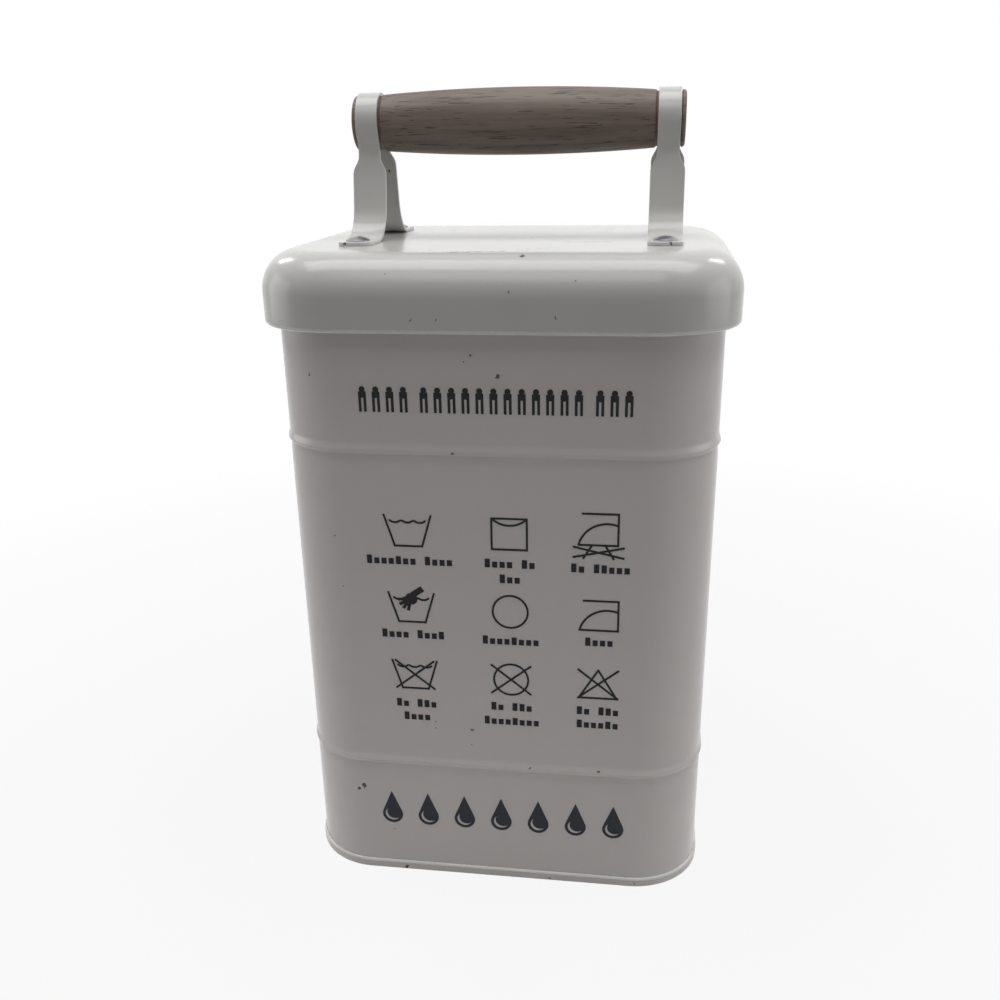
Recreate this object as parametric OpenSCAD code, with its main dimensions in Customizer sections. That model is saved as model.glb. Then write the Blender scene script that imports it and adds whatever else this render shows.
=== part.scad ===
// Storage tin for laundry powder: a rounded rectangular sheet steel tin with a slip-over lid
// and a turned wooden grip held on the lid by two riveted strap brackets.
// The tin stands on the XY plane with its middle on the Z axis, and its printed front faces -Y.

/* [Tin] */
// Width of the tin over its flat side walls
body_w = 167; // [150:1:200]
// Depth of the tin from front wall to back wall
body_d = 130; // [115:1:160]
// Height of the tin to the top of its curled edge
body_h = 255.6; // [245:0.2:300]
// Outer radius of the upright corners
body_r = 28; // [22:0.5:40]
// Thickness of the painted sheet steel
sheet = 0.7; // [0.5:0.1:0.9]
// Radius of the roll along the open edge
curl_r = 1.5; // [1.3:0.1:2]
// Width of the lapped side seam inside the back wall
lap_w = 7; // [4:0.5:12]

/* [Beads] */
// Height of the sharp line under the upper bead
upper_bead_z = 188; // [170:0.5:200]
// Height of the sharp line under the lower bead
lower_bead_z = 53.5; // [40:0.5:70]
// How far a bead stands out from the wall
bead_out = 0.75; // [0.4:0.05:1]
// Height of the bead's rounded upper flank
bead_rise = 4; // [3:0.25:6]
// Depth of the groove under a bead
groove_in = 0.15; // [0.1:0.05:0.3]
// Radius of the groove under a bead
groove_r = 2.4; // [2:0.1:3]

/* [Base seam] */
// Height of the folded seam round the foot
seam_h = 3.9; // [3:0.1:6]
// How far the folded seam stands out from the wall
seam_out = 1; // [0.8:0.1:1.4]
// Height of the recessed base panel's upper face
base_z = 3.2; // [2.4:0.1:3.8]
// Room between the wall and the folded seam
seam_gap = 0.05; // [0.02:0.01:0.1]

/* [Lid] */
// How far the lid's skirt stands out past the tin wall
lid_over = 5.5; // [5:0.1:7]
// Height of the lid from its hem to its top
lid_h = 26.7; // [22:0.1:40]
// Radius of the rounded upper edge
lid_edge_r = 15; // [12:0.5:18]
// Radius of the rolled hem
hem_r = 1.4; // [1.2:0.1:1.8]
// Clearance between the resting lid and the tin's curled edge
seat_gap = 0.3; // [0.2:0.05:0.5]

/* [Handle] */
// How far the handle sits to the right of the lid's middle
handle_x = 3.3; // [0:0.1:6]
// Distance between the middles of the two brackets
bracket_pitch = 114.4; // [90:0.2:130]
// Height of the grip's middle line above the lid
grip_rise = 42.6; // [36:0.2:60]
// Overall length of the wooden grip
grip_l = 126.4; // [104:0.2:150]
// Radius at the middle of the barrel
grip_mid_r = 12.1; // [11:0.1:16]
// Radius at the ends of the barrel
grip_end_r = 10.2; // [10:0.1:10.8]
// Radius of the neck that a strap is bent round
neck_r = 9.6; // [8.8:0.1:9.8]
// Radius of the stub outside each strap
stub_r = 10; // [9.8:0.1:10.6]
// Bevel on the barrel's end edges
barrel_bevel = 0.6; // [0.3:0.1:1]

/* [Brackets] */
// Thickness of the strap
strap_t = 1.4; // [1:0.1:2]
// Width of the strap where it wraps the grip
band_w = 8.4; // [6:0.1:10]
// Width of the legs and feet
leg_w = 12.9; // [11:0.1:18]
// Clearance between strap and wood
wood_gap = 0.05; // [0.02:0.01:0.2]
// Angle below the grip's middle line at which the strap turns away from the wood
wrap_angle = 35; // [25:1:45]
// Lean of the legs from upright
leg_lean = 10; // [6:0.5:14]
// Middle-line radius of the bend under the grip
neck_bend_r = 6; // [5:0.5:8]
// Middle-line radius of the bend into the foot
foot_bend_r = 14; // [10:0.5:18]
// Flat length of a foot
foot_l = 13.4; // [12:0.2:18]
// Radius of a foot's front corners
foot_corner_r = 3; // [1:0.5:4]
// Drop from the grip's middle line to the top of the front shoulders
shoulder_drop = 12.2; // [10:0.2:16]
// Height over which a shoulder widens
shoulder_h = 5.8; // [3:0.2:8]
// How much higher the rear shoulders sit
rear_shoulder_up = 3; // [0:0.2:4]

/* [Rivets] */
// Radius of a rivet's domed head
head_r = 4.6; // [4:0.1:5.4]
// Height of the domed head
head_h = 1.6; // [1:0.1:2.4]
// Radius of the shank
shank_r = 1.9; // [1.5:0.1:2.2]
// Clearance round the shank
shank_gap = 0.05; // [0.02:0.01:0.1]
// Radius of the clenched tail under the lid
tail_r = 3.2; // [2.8:0.1:4]
// Height of the clenched tail
tail_h = 1.1; // [0.8:0.1:1.6]

/* [Print] */
// Thickness of the ink
ink = 0.12; // [0.08:0.02:0.2]
// Width of a drawn line
line_w = 0.8; // [0.5:0.1:1.2]
// How far the heading and the drops sit to the right of the front's middle
print_x = 1.6; // [0:0.1:3]
// Height of the middle of the heading
heading_z = 208.4; // [200:0.2:216]
// Height of one peg in the heading
peg_h = 9.4; // [7:0.2:11]
// Width of one peg in the heading
peg_w = 2.9; // [2:0.1:3.6]
// Distance between pegs
peg_pitch = 5.1; // [4:0.1:5.2]
// Distance between the last peg of a group and the first of the next
peg_group_gap = 7.5; // [6:0.1:8]
// Height of the middle of the row of drops
drops_z = 31.2; // [28:0.2:34]
// Height of a drop
drop_h = 15.8; // [10:0.2:18]
// Radius of a drop's round end
drop_r = 4.4; // [3:0.1:5]
// Distance between drops
drop_pitch = 15.6; // [12:0.1:16]
// Height of a laundry symbol
symbol_h = 12.4; // [9:0.1:14]
// Distance between the small blocks under the symbols
block_pitch = 2.85; // [2.2:0.05:3]
// Height of a small block
block_h = 2.4; // [1.6:0.1:3]

/* [Hidden] */

paint = [0.9, 0.89, 0.86];
wood = [0.43, 0.38, 0.35];
steel = [0.72, 0.72, 0.73];
black = [0.13, 0.13, 0.14];

// Facets of a circle in the preview, degrees between the points of a bend, and a small reach
// past a surface that is cut
$fn = 64;
bend_step = 6;
past = 1;

// The bead is a wide ridge cut off from below by a tighter groove
ridge_h = bead_rise - 1;
ridge_r = (ridge_h * ridge_h + bead_out * bead_out) / (2 * bead_out);
groove_drop = 1.6;
wall_reach = 3;
bead_heights = [upper_bead_z, lower_bead_z];

// The base panel's edge runs down inside the wall, under it and up outside it
wall_foot_z = sheet + seam_gap;
panel_edge = sheet + seam_gap;

// The lid comes to rest where its rounded edge meets the curl along the tin's open edge
lid_w = body_w + 2 * lid_over;
lid_d = body_d + 2 * lid_over;
lid_r = body_r + lid_over;
seat_in = lid_edge_r - lid_over - curl_r;
seat_reach = lid_edge_r - sheet - curl_r - seat_gap;
lid_top = body_h - curl_r + lid_edge_r - sqrt(seat_reach * seat_reach - seat_in * seat_in);
lid_foot = lid_top - lid_h;

// The grip and the strap's bends, seen from the end of the grip
grip_z = lid_top + grip_rise;
barrel_gap = 0.5;
barrel_l = bracket_pitch - band_w - 2 * barrel_gap;
barrel_sag = grip_mid_r - grip_end_r;
barrel_arc_r = (barrel_l * barrel_l / 4 + barrel_sag * barrel_sag) / (2 * barrel_sag);
stub_gap = 0.3;
stub_x = bracket_pitch / 2 + band_w / 2 + stub_gap;
stub_bevel = 0.8;
wrap_in_r = neck_r + wood_gap;
wrap_mid_r = wrap_in_r + strap_t / 2;
bend_y = (wrap_mid_r + neck_bend_r) * cos(wrap_angle);
bend_z = grip_z - (wrap_mid_r + neck_bend_r) * sin(wrap_angle);
leg_top_y = bend_y - neck_bend_r * cos(leg_lean);
leg_top_z = bend_z - neck_bend_r * sin(leg_lean);
sweep_z = lid_top + strap_t / 2 + foot_bend_r;
leg_foot_z = sweep_z - foot_bend_r * sin(leg_lean);
leg_foot_y = leg_top_y + (leg_top_z - leg_foot_z) * tan(leg_lean);
sweep_y = leg_foot_y + foot_bend_r * cos(leg_lean);
foot_end_y = sweep_y + foot_l;
rivet_y = foot_end_y - foot_l / 2;
leg_l = (leg_top_z - leg_foot_z) / cos(leg_lean);
rivet_hole_r = shank_r + shank_gap;
bracket_x = bracket_pitch / 2;

// Where the printed figures stand on the front wall
heading_groups = [4, 12, 3];
symbol_columns = [-32.3, 6.6, 41];
symbol_rows = [157.6, 125.5, 95.8];
drop_count = 7;
// Column, middle height and word lengths of each line of small blocks
caption_lines = [
    [0, 145.4, [7, 4]], [1, 145.6, [4, 2]], [1, 139.3, [3]], [2, 145, [2, 5]],
    [0, 113.9, [4, 4]], [1, 113, [8]], [2, 114.3, [4]],
    [0, 82.7, [2, 3]], [0, 76.6, [4]], [1, 83.4, [2, 3]], [1, 76.8, [8]],
    [2, 83.7, [2, 3]], [2, 77.6, [6]]];

// Carries a section round a rounded rectangle: x = 0 in the section is the outline itself
module round_the_outline(w, d, r) {
    for (turn = [0:3]) {
        across = turn % 2 == 0 ? w : d;
        along = turn % 2 == 0 ? d : w;
        rotate([0, 0, 90 * turn]) {
            translate([across / 2 - r, along / 2 - r, 0])
                rotate_extrude(angle = 90) translate([r, 0]) children();
            translate([across / 2, along / 2 - r, 0])
                rotate([90, 0, 0]) linear_extrude(along - 2 * r) children();
        }
    }
}

// Flat plate with rounded corners, standing on z = 0
module rounded_plate(w, d, r, h) {
    translate([-w / 2, r - d / 2, 0]) cube([w, d - 2 * r, h]);
    translate([r - w / 2, -d / 2, 0]) cube([w - 2 * r, d, h]);
    for (x = [-1, 1], y = [-1, 1])
        translate([x * (w / 2 - r), y * (d / 2 - r), 0]) cylinder(h, r = r);
}

// Rolled sheet edge of radius r, left open on the side that faces from_angle to to_angle
module rolled_edge(r, from_angle, to_angle) {
    difference() {
        circle(r);
        circle(r - sheet);
        polygon([[0, 0], 2 * r * [cos(from_angle), sin(from_angle)],
            2 * r * [cos(to_angle), sin(to_angle)]]);
    }
}

// Area inside the wall's outer face, or inside its inner face when inset by the sheet
module wall_area(inset) {
    difference() {
        union() {
            translate([-2 * wall_reach, wall_foot_z - past])
                square([2 * wall_reach - inset, body_h]);
            for (z = bead_heights)
                translate([bead_out - ridge_r, z + 1]) circle(ridge_r - inset);
        }
        for (z = bead_heights)
            translate([groove_r - groove_in, z - groove_drop]) circle(groove_r + inset);
    }
}

module wall_section() {
    intersection() {
        difference() {
            wall_area(0);
            wall_area(sheet);
        }
        translate([-wall_reach, wall_foot_z])
            square([2 * wall_reach, body_h - curl_r - wall_foot_z]);
    }
    translate([-curl_r, body_h - curl_r]) rolled_edge(curl_r, 265, 350);
}

module tin_body() {
    lap_y = body_d / 2 - 2 * sheet;
    lap_z = base_z + past;
    color(paint) {
        round_the_outline(body_w, body_d, body_r) wall_section();
        difference() {
            translate([-lap_w / 2, lap_y, lap_z])
                cube([lap_w, sheet, body_h - 2 * curl_r - lap_z - past]);
            for (z = bead_heights)
                translate([-lap_w, lap_y - past, z - bead_rise])
                    cube([2 * lap_w, 2 * sheet + past, 2 * bead_rise + past]);
        }
    }
}

module seam_section() {
    lip_t = seam_out - seam_gap;
    translate([seam_gap, 0]) square([lip_t, seam_h - lip_t / 2]);
    translate([seam_gap + lip_t / 2, seam_h - lip_t / 2]) circle(lip_t / 2);
    translate([-panel_edge - sheet, 0]) square([panel_edge + sheet + seam_out, sheet]);
    translate([-panel_edge - sheet, 0]) square([sheet, base_z]);
}

module base_panel() {
    inset = panel_edge + sheet / 2;
    color(paint) {
        round_the_outline(body_w, body_d, body_r) seam_section();
        translate([0, 0, base_z - sheet])
            rounded_plate(body_w - 2 * inset, body_d - 2 * inset, body_r - inset, sheet);
    }
}

module lid_section() {
    translate([-sheet, lid_foot + hem_r]) square([sheet, lid_h - lid_edge_r - hem_r]);
    translate([-hem_r, lid_foot + hem_r]) rolled_edge(hem_r, 20, 110);
    translate([-lid_edge_r, lid_top - lid_edge_r])
        difference() {
            intersection() {
                circle(lid_edge_r);
                square(lid_edge_r + past);
            }
            circle(lid_edge_r - sheet);
        }
}

module lid_shell() {
    color(paint)
        difference() {
            union() {
                round_the_outline(lid_w, lid_d, lid_r) lid_section();
                translate([0, 0, lid_top - sheet])
                    rounded_plate(lid_w - 2 * lid_edge_r, lid_d - 2 * lid_edge_r,
                        lid_r - lid_edge_r, sheet);
            }
            for (x = [-1, 1], y = [-1, 1])
                translate([handle_x + x * bracket_x, y * rivet_y, lid_top - sheet - past])
                    cylinder(sheet + 2 * past, r = rivet_hole_r);
        }
}

// Points along an arc, one every few degrees
function arc_points(centre, r, from_angle, to_angle) =
    let (steps = ceil(abs(to_angle - from_angle) / bend_step))
    [for (i = [0:steps])
        let (turn = from_angle + (to_angle - from_angle) * i / steps)
        centre + r * [cos(turn), sin(turn)]];

// One face of the strap from the top of the grip down to the foot's end, as a line of points;
// out is 1 for the face turned away from the wood and -1 for the face against it
function strap_face(out) = concat(
    arc_points([0, grip_z], wrap_mid_r + out * strap_t / 2, 90, -wrap_angle),
    arc_points([bend_y, bend_z], neck_bend_r - out * strap_t / 2,
        180 - wrap_angle, 180 + leg_lean),
    arc_points([sweep_y, sweep_z], foot_bend_r - out * strap_t / 2, 180 + leg_lean, 270),
    [[foot_end_y, lid_top + (1 + out) * strap_t / 2]]);

function reversed(points) = [for (i = [len(points) - 1:-1:0]) points[i]];
function mirrored(points) = [for (p = points) [-p[0], p[1]]];
function without_first(points) = [for (i = [1:len(points) - 1]) points[i]];

// Whole bracket seen from the end of the grip, with the height upwards
module strap_side_view() {
    outer = strap_face(1);
    inner = strap_face(-1);
    polygon(concat(outer, reversed(inner), mirrored(without_first(inner)),
        mirrored(reversed(without_first(outer)))));
}

// What is cut away beside the neck so that the strap is narrower round the grip
module shoulder_cut(shoulder_z) {
    top_z = grip_z + wrap_mid_r + strap_t;
    polygon([
        [leg_w / 2 + past, shoulder_z - shoulder_h - past * shoulder_h / (leg_w - band_w) * 2],
        [band_w / 2, shoulder_z], [band_w / 2, top_z], [leg_w / 2 + past, top_z]]);
}

// What is cut off a foot to round one of its corners, seen from above
module foot_corner_cut() {
    x = leg_w / 2 - foot_corner_r;
    y = foot_end_y - foot_corner_r;
    polygon(concat(arc_points([x, y], foot_corner_r, 0, 90),
        [[x, foot_end_y + past], [leg_w / 2 + past, foot_end_y + past], [leg_w / 2 + past, y]]));
}

module bracket(side) {
    reach = foot_end_y + past;
    shoulder_z = grip_z - shoulder_drop;
    color(paint)
        translate([handle_x + side * bracket_x, 0, 0])
            difference() {
                translate([-leg_w / 2, 0, 0]) rotate([90, 0, 90])
                    linear_extrude(leg_w) strap_side_view();
                for (left = [0, 1], front = [0, 1])
                    mirror([left, 0, 0]) mirror([0, front, 0]) {
                        translate([0, reach, 0]) rotate([90, 0, 0]) linear_extrude(reach)
                            shoulder_cut(shoulder_z + (1 - front) * rear_shoulder_up);
                        translate([0, 0, lid_top - past]) linear_extrude(strap_t + 2 * past)
                            foot_corner_cut();
                    }
                for (y = [-rivet_y, rivet_y])
                    translate([0, y, lid_top - past])
                        cylinder(strap_t + 2 * past, r = rivet_hole_r);
            }
}

module barrel_section() {
    edge_r = grip_end_r - barrel_bevel;
    half = barrel_l / 2;
    intersection() {
        translate([grip_mid_r - barrel_arc_r, 0]) circle(barrel_arc_r, $fn = 240);
        polygon([[0, -half], [edge_r, -half], [edge_r + half, 0], [edge_r, half], [0, half]]);
    }
}

module grip() {
    stub_l = grip_l / 2 - stub_x;
    color(wood)
        translate([handle_x, 0, grip_z]) rotate([0, 90, 0]) {
            rotate_extrude() barrel_section();
            translate([0, 0, -grip_l / 2 + past / 2]) cylinder(grip_l - past, r = neck_r);
            for (side = [-1, 1])
                rotate([90 - 90 * side, 0, 0]) {
                    translate([0, 0, stub_x]) cylinder(stub_l - stub_bevel, r = stub_r);
                    translate([0, 0, grip_l / 2 - stub_bevel])
                        cylinder(stub_bevel, r1 = stub_r, r2 = stub_r - stub_bevel);
                }
        }
}

module rivet(side_x, side_y) {
    dome_r = (head_r * head_r + head_h * head_h) / (2 * head_h);
    color(steel)
        translate([handle_x + side_x * bracket_x, side_y * rivet_y, lid_top])
            rotate_extrude() {
                intersection() {
                    translate([0, strap_t + head_h - dome_r]) circle(dome_r);
                    translate([0, strap_t]) square([head_r, head_h]);
                }
                translate([0, -sheet - tail_h / 2]) square([shank_r, sheet + strap_t + tail_h]);
                translate([0, -sheet - tail_h]) square([tail_r, tail_h]);
            }
}

// Raises a flat figure, drawn in x and height, as ink on the front wall
module inked() {
    color(black)
        translate([0, -body_d / 2, 0]) rotate([90, 0, 0]) linear_extrude(ink) children();
}

// Straight line between two points
module drawn_line(a, b) {
    run = b - a;
    translate(a) rotate(atan2(run[1], run[0]))
        translate([-line_w / 2, -line_w / 2]) square([norm(run) + line_w, line_w]);
}

// Line through a list of points
module drawn_path(points) {
    for (i = [1:len(points) - 1]) drawn_line(points[i - 1], points[i]);
}

// Circle line about the origin
module drawn_ring(r) {
    difference() {
        circle(r + line_w / 2);
        circle(r - line_w / 2);
    }
}

// Sagging line of the given span and depth, its ends at the height of the origin
module drawn_sag(span, depth) {
    r = (span * span / 4 + depth * depth) / (2 * depth);
    intersection() {
        translate([0, r - depth]) drawn_ring(r);
        translate([-span / 2, -depth - line_w]) square([span, depth + line_w]);
    }
}

module crossed(w, h) {
    drawn_line([-w / 2, -h / 2], [w / 2, h / 2]);
    drawn_line([-w / 2, h / 2], [w / 2, -h / 2]);
}

module tub() {
    top = 0.73 * symbol_h;
    foot = 0.43 * symbol_h;
    drawn_path([[-top, symbol_h / 2], [-foot, -symbol_h / 2], [foot, -symbol_h / 2],
        [top, symbol_h / 2]]);
    water = top - 0.15 * symbol_h;
    for (i = [-1:1])
        translate([i * water * 2 / 3, 0.36 * symbol_h]) drawn_sag(water * 2 / 3, 0.09 * symbol_h);
}

// Open hand reaching down into the tub
module hand() {
    palm = 0.2 * symbol_h;
    translate([0, 0.3 * symbol_h]) circle(palm);
    translate([0.1 * symbol_h, 0.35 * symbol_h]) rotate(35) square([0.4 * symbol_h, palm]);
    for (i = [0:3])
        translate([-0.02 * symbol_h, 0.3 * symbol_h]) rotate(185 + 24 * i)
            translate([0, -0.05 * symbol_h]) square([0.42 * symbol_h, 0.1 * symbol_h]);
}

module drying_square() {
    half = 0.54 * symbol_h;
    drawn_path([[-half, symbol_h / 2], [half, symbol_h / 2], [half, -symbol_h / 2],
        [-half, -symbol_h / 2], [-half, symbol_h / 2]]);
    translate([0, symbol_h / 2]) drawn_sag(2 * half, 0.22 * symbol_h);
}

module iron() {
    nose = -0.61 * symbol_h;
    heel = 0.58 * symbol_h;
    drawn_path([[0.8 * nose, symbol_h / 2], [heel, symbol_h / 2], [heel, -symbol_h / 2],
        [nose, -symbol_h / 2]]);
    intersection() {
        translate([0.26 * symbol_h, -0.7 * symbol_h]) drawn_ring(0.89 * symbol_h);
        translate([nose - line_w, -symbol_h / 2]) square([heel - nose + line_w, symbol_h]);
    }
}

module crossed_steam() {
    foot = -0.92 * symbol_h;
    for (side = [-1, 1])
        drawn_line([side * 0.2 * symbol_h, -symbol_h / 2], [side * 0.45 * symbol_h, foot]);
    translate([0, 0.8 * foot]) crossed(1.5 * symbol_h, 0.33 * symbol_h);
}

module bleach_triangle() {
    half = 0.6 * symbol_h;
    drawn_path([[-half, -symbol_h / 2], [0, symbol_h / 2], [half, -symbol_h / 2],
        [-half, -symbol_h / 2]]);
}

// Puts a symbol at its column and row
module symbol_at(column, row) {
    translate([symbol_columns[column], symbol_rows[row]]) children();
}

module print_symbols() {
    circle_r = 0.55 * symbol_h;
    cross_w = 1.25 * symbol_h;
    inked() {
        symbol_at(0, 0) tub();
        symbol_at(1, 0) drying_square();
        symbol_at(2, 0) translate([-line_w, 0.25 * symbol_h]) {
            iron();
            crossed_steam();
        }
        symbol_at(0, 1) tub();
        symbol_at(0, 1) hand();
        symbol_at(1, 1) drawn_ring(circle_r);
        symbol_at(2, 1) iron();
        symbol_at(0, 2) tub();
        symbol_at(0, 2) crossed(cross_w, symbol_h);
        symbol_at(1, 2) drawn_ring(circle_r);
        symbol_at(1, 2) crossed(cross_w, symbol_h);
        symbol_at(2, 2) bleach_triangle();
        symbol_at(2, 2) crossed(cross_w, symbol_h);
    }
}

// How many letters or gaps stand before the given word of a line
function word_start(words, i) = i == 0 ? 0 : word_start(words, i - 1) + words[i - 1] + 1;

// One line of small blocks in place of lettering, centred on the origin
module block_line(words) {
    count = word_start(words, len(words)) - 1;
    block_w = 0.7 * block_pitch;
    for (i = [0:len(words) - 1], k = [0:words[i] - 1]) {
        place = word_start(words, i) + k;
        tall = k == 0 ? 1.45 : (place * 3) % 4 == 0 ? 1.35 : 1;
        translate([(place - count / 2 + 0.15) * block_pitch, -block_h / 2])
            square([block_w, block_h * tall]);
    }
}

module print_captions() {
    inked()
        for (line = caption_lines)
            translate([symbol_columns[line[0]], line[1] - 0.2 * block_h]) block_line(line[2]);
}

// Round-headed clothes peg with a slot between its legs
module peg() {
    head = 0.38 * peg_w;
    slot_w = 0.3 * peg_w;
    shoulder = peg_h / 2 - 1.7 * head;
    translate([0, peg_h / 2 - head]) circle(head);
    difference() {
        translate([-peg_w / 2, -peg_h / 2]) square([peg_w, peg_h / 2 + shoulder]);
        translate([-slot_w / 2, -peg_h / 2 - past]) square([slot_w, 0.55 * peg_h + past]);
    }
}

// Distance from the first peg of the heading to the first peg of a group
function group_start(i) = i == 0 ? 0
    : group_start(i - 1) + (heading_groups[i - 1] - 1) * peg_pitch + peg_group_gap;

module print_heading() {
    last = len(heading_groups) - 1;
    span = group_start(last) + (heading_groups[last] - 1) * peg_pitch;
    inked()
        for (i = [0:last], k = [0:heading_groups[i] - 1])
            translate([print_x - span / 2 + group_start(i) + k * peg_pitch, heading_z]) peg();
}

// Drop of water with a crescent of light left bare
module drop() {
    tip = drop_h - drop_r;
    side = acos(drop_r / tip);
    touch = drop_r * [sin(side), cos(side)];
    difference() {
        union() {
            circle(drop_r);
            polygon([[0, tip], touch, [0, 0], [-touch[0], touch[1]]]);
        }
        difference() {
            circle(0.72 * drop_r);
            translate([0.18 * drop_r, 0.2 * drop_r]) circle(0.72 * drop_r);
        }
    }
}

module print_title() {
    inked()
        for (i = [0:drop_count - 1])
            translate([print_x + (i - (drop_count - 1) / 2) * drop_pitch,
                drops_z - drop_h / 2 + drop_r]) drop();
}

tin_body();
base_panel();
lid_shell();
bracket(-1);  // bracket_left
bracket(1);  // bracket_right
grip();
rivet(-1, -1);  // rivet_left_front
rivet(-1, 1);  // rivet_left_rear
rivet(1, -1);  // rivet_right_front
rivet(1, 1);  // rivet_right_rear
print_heading();
print_symbols();
print_captions();
print_title();
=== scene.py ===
"""Storage tin for laundry powder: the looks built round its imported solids.

The tin's wall, base and lid are drawn as sections of sheet steel and carried round a rounded
rectangle. The strap brackets are bent strips, and the grip and rivets are turned.
"""

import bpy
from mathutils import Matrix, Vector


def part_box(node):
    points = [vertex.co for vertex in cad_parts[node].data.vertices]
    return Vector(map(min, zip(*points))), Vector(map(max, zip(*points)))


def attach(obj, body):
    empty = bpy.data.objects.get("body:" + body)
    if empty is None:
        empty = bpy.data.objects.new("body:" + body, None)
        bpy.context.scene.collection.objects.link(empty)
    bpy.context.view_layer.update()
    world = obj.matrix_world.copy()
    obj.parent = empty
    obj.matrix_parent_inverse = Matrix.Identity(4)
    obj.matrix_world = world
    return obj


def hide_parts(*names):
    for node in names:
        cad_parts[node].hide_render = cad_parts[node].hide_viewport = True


bl_info = {
    "name": "Laundry Powder Tin",
    "version": (1, 0, 0),
    "blender": (4, 5, 0),
    "location": "3D View > Sidebar > Tin",
    "description": "Builds a painted storage tin with a wooden-handled lid round its solids",
    "category": "Add Mesh",
}

from math import ceil, cos, pi, radians, sin, sqrt, tan

import bmesh
import bpy
from bpy.props import FloatProperty, FloatVectorProperty, IntProperty, PointerProperty
from bpy.types import Operator, Panel, PropertyGroup
from mathutils import Matrix, Vector

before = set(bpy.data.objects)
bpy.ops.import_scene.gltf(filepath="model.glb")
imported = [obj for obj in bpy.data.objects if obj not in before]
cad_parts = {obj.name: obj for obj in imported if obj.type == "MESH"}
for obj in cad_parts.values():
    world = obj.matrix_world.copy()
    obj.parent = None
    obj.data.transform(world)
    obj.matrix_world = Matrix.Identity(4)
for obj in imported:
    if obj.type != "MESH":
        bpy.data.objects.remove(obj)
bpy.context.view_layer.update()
MM = 0.001
# How near vertices are merged, points of a line count as one, and a place counts as met
MERGED, REPEATED, MET = 0.002 * MM, 0.005 * MM, 0.01 * MM

PRINT_NODES = ("print_heading", "print_symbols", "print_captions", "print_title")
BRACKET_NODES = ("bracket_left", "bracket_right")
RIVET_NODES = (
    "rivet_left_front",
    "rivet_left_rear",
    "rivet_right_front",
    "rivet_right_rear",
)


# Sizes and colours


def length(name, description, default):
    """A property for a length."""
    return FloatProperty(
        name=name,
        description=description,
        default=default,
        min=0.0,
        precision=5,
        subtype="DISTANCE",
        unit="LENGTH",
    )


def colour(name, description, default):
    """A property for a colour, red, green and blue."""
    return FloatVectorProperty(
        name=name, description=description, default=default, size=3, min=0, max=1, subtype="COLOR"
    )


def span(node):
    """How wide, deep and high a solid is."""
    low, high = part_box(node)
    return high - low


def middle(node):
    """The middle of a solid's box."""
    low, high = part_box(node)
    return (low + high) / 2


# How far the beads make the wall wider than its flat faces, at each side
BEAD_OUT = 0.75 * MM


class TinSizes(PropertyGroup):
    """Sizes of the tin's wall and base."""

    width: length("Width", "Width over the flat side walls", span("tin_body").x - 2 * BEAD_OUT)
    depth: length("Depth", "Depth from front to back wall", span("tin_body").y - 2 * BEAD_OUT)
    rim: length("Rim height", "Height of the curled open edge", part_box("tin_body")[1].z)
    corner: length("Corner", "Outer radius of the upright corners", 28 * MM)
    sheet: length("Sheet", "Thickness of the sheet steel", 0.7 * MM)
    curl: length("Curl", "Radius of the roll along the open edge", 1.5 * MM)
    upper_bead: length("Upper bead", "Height of the line under the upper bead", 188 * MM)
    lower_bead: length("Lower bead", "Height of the line under the lower bead", 53.5 * MM)
    bead_out: length("Bead", "How far a bead stands out", BEAD_OUT)
    groove_in: length("Groove", "Depth of the groove under a bead", 0.3 * MM)
    lap: length("Lap", "Width of the lapped seam inside the back wall", 7 * MM)
    seam_out: length("Seam", "How far the folded seam stands out", 1 * MM)
    seam_height: length("Seam height", "Height of the folded seam", span("base_panel").z)
    panel: length("Base height", "Height of the base panel's upper face", 3.2 * MM)
    gap: length("Gap", "Room between the wall and the folded seam", 0.05 * MM)


class LidSizes(PropertyGroup):
    """Sizes of the lid."""

    width: length("Width", "Width over the skirt", span("lid_shell").x)
    depth: length("Depth", "Depth over the skirt", span("lid_shell").y)
    top: length("Top", "Height of the lid's top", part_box("lid_shell")[1].z)
    foot: length("Foot", "Height of the lid's hem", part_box("lid_shell")[0].z)
    corner: length("Corner", "Outer radius of the upright corners", 33.5 * MM)
    sheet: length("Sheet", "Thickness of the sheet steel", 0.7 * MM)
    edge: length("Edge", "Radius of the rounded upper edge", 15 * MM)
    hem: length("Hem", "Radius of the rolled hem", 1.4 * MM)


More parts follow.
